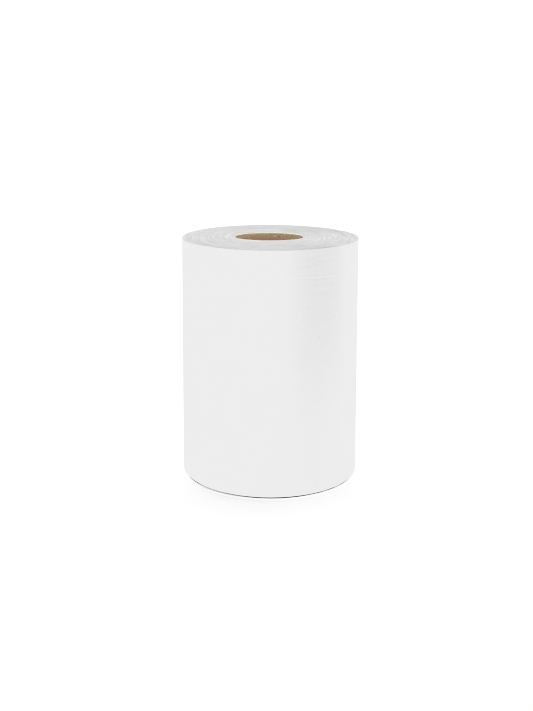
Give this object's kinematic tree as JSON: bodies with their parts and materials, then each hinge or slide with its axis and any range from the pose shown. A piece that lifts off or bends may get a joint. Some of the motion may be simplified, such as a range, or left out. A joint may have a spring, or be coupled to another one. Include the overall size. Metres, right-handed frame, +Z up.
{
  "type": "paper roll",
  "caption": "Short upright roll of smooth white backdrop paper wound on a kraft paperboard core, with an open bore and a free tail that lifts off the outer turn.",
  "frame": {"origin": "on the core's axis, in the plane of the core's lower end, on which the roll stands", "axes": "+Z up along the core's axis; the free edge of the paper is at the back left, 165 degrees counter-clockwise from +X; the outer turns have wandered 0.9 mm off the axis toward +X"},
  "size_m": [0.1467, 0.1469, 0.2018],
  "materials": {
    "kraft_liner": "matte uncoated kraft board with fibres and specks",
    "core_board": "matte recycled core board",
    "kraft_face": "matte kraft board",
    "glue": "dried clear adhesive, satin",
    "paper_face": "smooth coated white paper, satin",
    "paper_edges": "stacked cut paper edges, matte"
  },
  "bodies": {
    "roll": {"core_liner_ply": "kraft_liner", "core_body_ply_1": "core_board", "core_body_ply_2": "core_board", "core_body_ply_3": "core_board", "core_body_ply_4": "core_board", "core_face_ply": "kraft_face", "pickup_glue": "glue", "first_turns_of_paper": "paper_edges", "wound_paper": "paper_edges", "last_turn_of_paper": "paper_face", "tail_tack": "glue"},
    "tail": {"tail_flap": "paper_face"}
  },
  "joints": [
    {"name": "tail_lift", "type": "hinge", "parent": "roll", "child": "tail", "pos_m": [-0.03021, 0.06663, 0.1007], "axis": [0, 0, -1], "range_deg": [0, 60], "stiffness_Nm_per_rad": 0.006}
  ]
}
